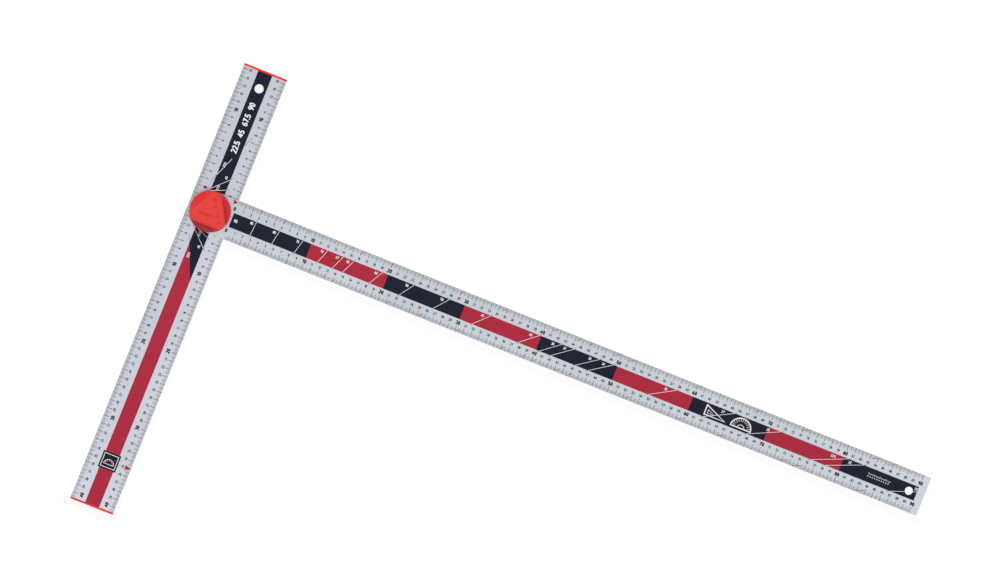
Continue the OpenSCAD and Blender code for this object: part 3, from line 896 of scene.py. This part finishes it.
class Finish:
    """A material under construction: its node tree and its surface shader."""

    def __init__(self, name, colour, **uniform):
        self.material = bpy.data.materials.new(name)
        self.material.use_nodes = True
        self.tree = self.material.node_tree
        self.surface = self.tree.nodes["Principled BSDF"]
        self.colour = colour
        self.surface.inputs["Base Color"].default_value = (*colour, 1)
        for socket, value in uniform.items():
            self.surface.inputs[socket.replace("_", " ")].default_value = value
        self.place = self.add("ShaderNodeTexCoord").outputs["Object"]

    def add(self, kind, **settings):
        """A shader node, with its settings and its inputs' values given by name."""
        node = self.tree.nodes.new(kind)
        for key, value in settings.items():
            if hasattr(node, key):
                setattr(node, key, value)
            else:
                node.inputs[key.replace("_", " ")].default_value = value
        return node

    def join(self, output, entry):
        """A link from an output to an input."""
        self.tree.links.new(output, entry)

    def noise(self, scale, stretch=(1, 1, 1), detail=3.0):
        """Noise on the piece's own coordinates, stretched by a scale for each axis."""
        mapping = self.add("ShaderNodeMapping")
        mapping.inputs["Scale"].default_value = stretch
        self.join(self.place, mapping.inputs["Vector"])
        pattern = self.add("ShaderNodeTexNoise", Scale=scale, Detail=detail)
        self.join(mapping.outputs["Vector"], pattern.inputs["Vector"])
        return pattern.outputs["Fac"]

    def mean(self, first, second):
        """The mean of two patterns."""
        both = self.add("ShaderNodeMath", operation="ADD")
        self.join(first, both.inputs[0])
        self.join(second, both.inputs[1])
        half = self.add("ShaderNodeMath", operation="MULTIPLY")
        half.inputs[1].default_value = 0.5
        self.join(both.outputs[0], half.inputs[0])
        return half.outputs[0]

    def vary_colour(self, pattern, dark_share, light_share):
        """The base colour runs from a darker to a lighter share of itself with the pattern."""
        ramp = self.add("ShaderNodeValToRGB")
        shares = (dark_share, light_share)
        for element, position, share in zip(ramp.color_ramp.elements, RAMP_ENDS, shares):
            element.position = position
            element.color = (*(min(1, share * channel) for channel in self.colour), 1)
        self.join(pattern, ramp.inputs["Fac"])
        self.join(ramp.outputs["Color"], self.surface.inputs["Base Color"])

    def recolour(self, share, colour):
        """Another colour takes the place of the varied base colour, by a share."""
        varied = self.surface.inputs["Base Color"].links[0].from_socket
        mix = self.add("ShaderNodeMixRGB")
        mix.inputs["Color2"].default_value = (*colour, 1)
        self.join(share, mix.inputs["Fac"])
        self.join(varied, mix.inputs["Color1"])
        self.join(mix.outputs["Color"], self.surface.inputs["Base Color"])

    def between_heights(self, low, high):
        """1 between two heights and 0 beyond them, with soft ends."""
        split = self.add("ShaderNodeSeparateXYZ")
        self.join(self.place, split.inputs["Vector"])
        middle = self.add("ShaderNodeMath", operation="SUBTRACT")
        middle.inputs[1].default_value = (low + high) / 2
        self.join(split.outputs["Z"], middle.inputs[0])
        away = self.add("ShaderNodeMath", operation="ABSOLUTE")
        self.join(middle.outputs[0], away.inputs[0])
        share = self.add("ShaderNodeMapRange")
        share.inputs["From Min"].default_value = (high - low) / 2
        share.inputs["From Max"].default_value = (high - low) / 2 - SOFT_EDGE * MM
        self.join(away.outputs[0], share.inputs["Value"])
        return share.outputs["Result"]

    def vary_roughness(self, pattern, low, high):
        """The roughness runs from low to high with the pattern."""
        spread = self.add("ShaderNodeMapRange")
        spread.inputs["To Min"].default_value = low
        spread.inputs["To Max"].default_value = high
        self.join(pattern, spread.inputs["Value"])
        self.join(spread.outputs["Result"], self.surface.inputs["Roughness"])

    def raise_surface(self, pattern, depth, strength):
        """A bump whose height follows the pattern, with a depth in metres."""
        bump = self.add("ShaderNodeBump", Distance=depth, Strength=strength)
        self.join(pattern, bump.inputs["Height"])
        self.join(bump.outputs["Normal"], self.surface.inputs["Normal"])


def anodised(name, colour, grain):
    """Satin anodised aluminium with fine drawing lines along one axis."""
    finish = Finish(name, colour, Metallic=1.0)
    lines = finish.noise(scale=1.0, stretch=grain, detail=4)
    cloud = finish.noise(scale=9.0)
    finish.vary_colour(finish.mean(lines, cloud), dark_share=0.92, light_share=1.08)
    finish.vary_roughness(lines, low=0.31, high=0.49)
    finish.raise_surface(lines, depth=0.00003, strength=0.35)
    return finish.material


def ink(name, colour):
    """Matt printing ink with a faint mottle."""
    finish = Finish(name, colour, Specular_IOR_Level=0.12)
    mottle = finish.noise(scale=900.0)
    finish.vary_colour(mottle, dark_share=0.93, light_share=1.07)
    finish.vary_roughness(mottle, low=0.5, high=0.65)
    finish.raise_surface(mottle, depth=0.00001, strength=0.15)
    return finish.material


def moulded(name, colour, roughness, texture_depth, sheen_colour=None):
    """Moulded plastic with a fine spark-eroded texture. With a sheen colour it is painted paler on the
    knob's face between the raised signs, from where the knob's slope ends: a painted sheen, with the
    rest left deeper as painted shade."""
    finish = Finish(name, colour, Specular_IOR_Level=0.4)
    grain = finish.noise(scale=2600.0, detail=2)
    cloud = finish.noise(scale=60.0)
    finish.vary_colour(cloud, dark_share=0.96, light_share=1.04)
    if sheen_colour:
        # Painted sheen: the knob's face is recoloured paler by height, not by a different plastic
        finish.recolour(finish.between_heights(SHEEN_FACE_LOW * MM, SHEEN_FACE_HIGH * MM), sheen_colour)
    finish.vary_roughness(grain, low=roughness - 0.05, high=roughness + 0.07)
    finish.raise_surface(grain, texture_depth, strength=0.3)
    return finish.material


def plated(name, colour, roughness):
    """Plated or polished steel with faint clouds."""
    finish = Finish(name, colour, Metallic=1.0)
    cloud = finish.noise(scale=160.0)
    finish.vary_colour(cloud, dark_share=0.9, light_share=1.06)
    finish.vary_roughness(cloud, low=roughness - 0.06, high=roughness + 0.08)
    finish.raise_surface(finish.noise(scale=1800.0), depth=0.00001, strength=0.2)
    return finish.material


def make_inks():
    """The four printing inks, by their slots."""
    return {
        "ink_black": ink("ink_black", (0.008, 0.008, 0.012)),
        "ink_navy": ink("ink_navy", (0.011, 0.012, 0.025)),
        "ink_red": ink("ink_red", (0.42, 0.026, 0.053)),
        "ink_white": ink("ink_white", (0.86, 0.86, 0.87)),
    }


def dress_frame():
    """Gives every CAD node that stays on show its finish."""
    finishes = {
        "head_aluminium": anodised("head_aluminium", (0.548, 0.568, 0.622), (1800, 6, 1800)),
        "blade_aluminium": anodised("blade_aluminium", (0.535, 0.57, 0.615), (6, 1800, 1800)),
        "cap_red": moulded("cap_red", (0.85, 0.018, 0.008), 0.32, 0.00001),
        # The knob's paler second colour is a painted sheen on its face
        "knob_red": moulded("knob_red", (0.665, 0.016, 0.024), 0.42, 0.00003, (0.745, 0.044, 0.039)),
        "black_moulding": moulded("black_moulding", (0.03, 0.03, 0.035), 0.5, 0.00004),
        "zinc_steel": plated("zinc_steel", (0.55, 0.56, 0.58), 0.32),
        "spring_steel": plated("spring_steel", (0.40, 0.40, 0.41), 0.28),
        "ball_steel": plated("ball_steel", (0.70, 0.71, 0.72), 0.12),
        "nylon": moulded("nylon", (0.80, 0.78, 0.70), 0.45, 0.00001),
        "brass": plated("brass", (0.62, 0.43, 0.16), 0.25),
    }
    for row in frame["record"]["subparts"]:
        node = frame["nodes"][row["node"]]
        node.data.materials.clear()
        node.data.materials.append(finishes[row["material_slot"]])
    return finishes


# Studio


def make_camera():
    """The camera at the photograph's place. Its lens is the focal length in pixels, as a share
    of the photograph's width, times the sensor's width."""
    data = bpy.data.cameras.new("camera")
    data.sensor_width = SENSOR_WIDTH_MM
    data.lens = FOCAL_PX / PHOTO_WIDTH_PX * SENSOR_WIDTH_MM
    data.clip_start, data.clip_end = CAMERA_NEAR, CAMERA_FAR
    camera = bpy.data.objects.new("camera", data)
    camera.location = CAMERA_PLACE
    camera.rotation_euler = [math.radians(turn) for turn in CAMERA_TURN_DEG]
    bpy.context.scene.collection.objects.link(camera)
    bpy.context.scene.camera = camera


SKY_LEVEL = 0.48
SHINE_LEVEL = 0.963
SHINE_SLOPE = (0.91, -2.7, 0.0)
SHINE_LOW, SHINE_HIGH = 0.71, 1.60
LAMP_PLACE = (-2.09, 3.23, 3.9)
LAMP_AIM = (0.2, -0.05, 0.0)
LAMP_SIZE = 1.8
LAMP_WATTS = 220
FLOOR_GLOW = 0.88
FLOOR_TONE = 0.21
FLOOR_HALF = 12.0
FLOOR_Z = -0.0002


def seen_by_eye(tree):
    """1 for what the camera or clear glass looks at, 0 for light on its way to a surface."""
    path = tree.nodes.new("ShaderNodeLightPath")
    seen = tree.nodes.new("ShaderNodeMath")
    seen.operation = "MAXIMUM"
    tree.links.new(path.outputs["Is Camera Ray"], seen.inputs[0])
    tree.links.new(path.outputs["Is Transmission Ray"], seen.inputs[1])
    return path, seen.outputs[0]


def make_sky():
    """An even soft sky that is white where it is looked at. What shines in metal is brighter
    towards the blade's end and the head's long end, as under a wide softbox."""
    world = bpy.data.worlds.new("sky")
    world.use_nodes = True
    bpy.context.scene.world = world
    tree = world.node_tree
    background = tree.nodes["Background"]
    background.inputs["Color"].default_value = (1, 1, 1, 1)
    path, seen = seen_by_eye(tree)
    coordinates = tree.nodes.new("ShaderNodeTexCoord")
    slope = tree.nodes.new("ShaderNodeVectorMath")
    slope.operation = "DOT_PRODUCT"
    slope.inputs[1].default_value = SHINE_SLOPE
    tree.links.new(coordinates.outputs["Generated"], slope.inputs[0])
    shine = tree.nodes.new("ShaderNodeMapRange")
    shine.inputs["From Min"].default_value = SHINE_LOW - 1
    shine.inputs["From Max"].default_value = SHINE_HIGH - 1
    shine.inputs["To Min"].default_value = SHINE_LOW * SHINE_LEVEL
    shine.inputs["To Max"].default_value = SHINE_HIGH * SHINE_LEVEL
    tree.links.new(slope.outputs["Value"], shine.inputs["Value"])
    glossy = tree.nodes.new("ShaderNodeMix")
    glossy.inputs["A"].default_value = SKY_LEVEL
    tree.links.new(path.outputs["Is Glossy Ray"], glossy.inputs["Factor"])
    tree.links.new(shine.outputs["Result"], glossy.inputs["B"])
    white = tree.nodes.new("ShaderNodeMix")
    white.inputs["B"].default_value = 1.0
    tree.links.new(seen, white.inputs["Factor"])
    tree.links.new(glossy.outputs["Result"], white.inputs["A"])
    tree.links.new(white.outputs["Result"], background.inputs["Strength"])


def make_floor():
    """A pale floor that looks white and still takes the object's soft shadow."""
    mesh = bpy.data.meshes.new("floor")
    signs = [(-1, -1), (1, -1), (1, 1), (-1, 1)]
    mesh.from_pydata([(x * FLOOR_HALF, y * FLOOR_HALF, FLOOR_Z) for x, y in signs], [], [(0, 1, 2, 3)])
    material = bpy.data.materials.new("floor")
    material.use_nodes = True
    tree = material.node_tree
    tree.nodes.remove(tree.nodes["Principled BSDF"])
    matt = tree.nodes.new("ShaderNodeBsdfDiffuse")
    matt.inputs["Color"].default_value = (FLOOR_TONE, FLOOR_TONE, FLOOR_TONE, 1)
    glow = tree.nodes.new("ShaderNodeEmission")
    path, seen = seen_by_eye(tree)
    shown = tree.nodes.new("ShaderNodeMath")
    shown.operation = "MAXIMUM"
    tree.links.new(seen, shown.inputs[0])
    tree.links.new(path.outputs["Is Glossy Ray"], shown.inputs[1])
    level = tree.nodes.new("ShaderNodeMath")
    level.operation = "MULTIPLY"
    level.inputs[1].default_value = FLOOR_GLOW
    tree.links.new(shown.outputs[0], level.inputs[0])
    tree.links.new(level.outputs[0], glow.inputs["Strength"])
    both = tree.nodes.new("ShaderNodeAddShader")
    tree.links.new(matt.outputs[0], both.inputs[0])
    tree.links.new(glow.outputs[0], both.inputs[1])
    tree.links.new(both.outputs[0], tree.nodes["Material Output"].inputs["Surface"])
    mesh.materials.append(material)
    floor = bpy.data.objects.new("floor", mesh)
    bpy.context.scene.collection.objects.link(floor)


def make_lamp():
    """A large square lamp, turned from straight down by the angle between its aim and the
    vertical, and then round the vertical to its aim's bearing."""
    data = bpy.data.lights.new("softbox", "AREA")
    data.size = LAMP_SIZE
    data.energy = LAMP_WATTS
    lamp = bpy.data.objects.new("softbox", data)
    lamp.location = LAMP_PLACE
    lamp.visible_glossy = False
    aim = np.array(LAMP_AIM) - np.array(LAMP_PLACE)
    flat = math.hypot(aim[0], aim[1])
    lamp.rotation_euler = (math.atan2(flat, -aim[2]), 0, math.atan2(aim[1], aim[0]) - math.pi / 2)
    bpy.context.scene.collection.objects.link(lamp)


bpy.context.scene.view_settings.view_transform = "Standard"
make_camera()
make_sky()
make_floor()
make_lamp()

finishes = dress_frame()
inks = make_inks()
print_blade(inks)
print_head(inks)
rounded_cap("cap_top_rounded", "end_cap_top", finishes["cap_red"])
rounded_cap("cap_bottom_rounded", "end_cap_bottom", finishes["cap_red"])
build_knob(finishes["knob_red"])
build_knob_marks(finishes["knob_red"])
